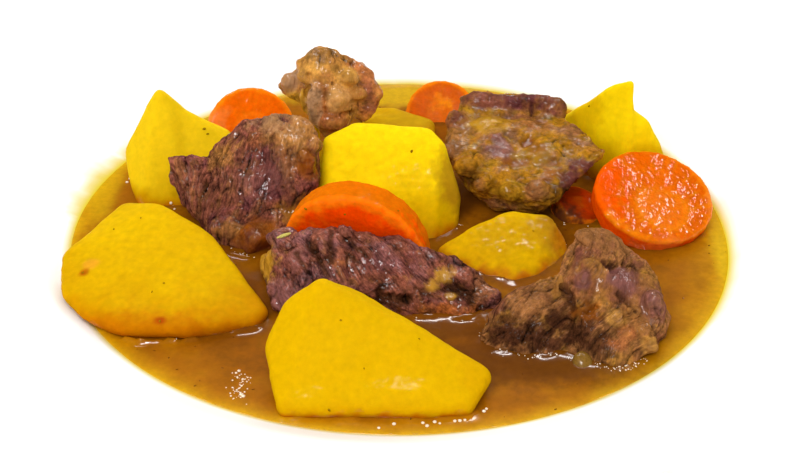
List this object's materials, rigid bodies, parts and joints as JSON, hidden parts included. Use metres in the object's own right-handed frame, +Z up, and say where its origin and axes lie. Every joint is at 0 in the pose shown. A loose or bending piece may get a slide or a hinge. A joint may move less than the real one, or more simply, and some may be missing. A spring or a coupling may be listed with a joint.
{
  "type": "beef stew",
  "caption": "Beef stew in a deep white plate: braised beef, boiled potato chunks and carrot slices standing in brown gravy.",
  "frame": {"origin": "middle of the plate's foot ring, on the table", "axes": "+Z up out of the plate, -Y towards the side from which the large front potato and the long front beef piece show, +X towards the large carrot slice"},
  "size_m": [0.24, 0.24, 0.0556],
  "materials": {
    "porcelain": "white glazed porcelain",
    "gravy": "thin brown gravy, wet and glossy, golden where it is shallow",
    "potato": "boiled yellow potato, soft and wet",
    "carrot": "stewed orange carrot, wet",
    "beef": "braised brown beef, fibrous and glazed with gravy"
  },
  "bodies": {
    "root": {"plate": "porcelain", "gravy": "gravy", "potato_front": "potato", "potato_left": "potato", "potato_back_left": "potato", "potato_centre": "potato", "potato_right": "potato", "potato_back_right": "potato", "potato_back": "potato", "potato_under": "potato", "carrot_right": "carrot", "carrot_centre": "carrot", "carrot_back_left": "carrot", "carrot_back": "carrot", "carrot_under": "carrot", "beef_left": "beef", "beef_back": "beef", "beef_right": "beef", "beef_front": "beef", "beef_front_right": "beef"}
  },
  "joints": []
}
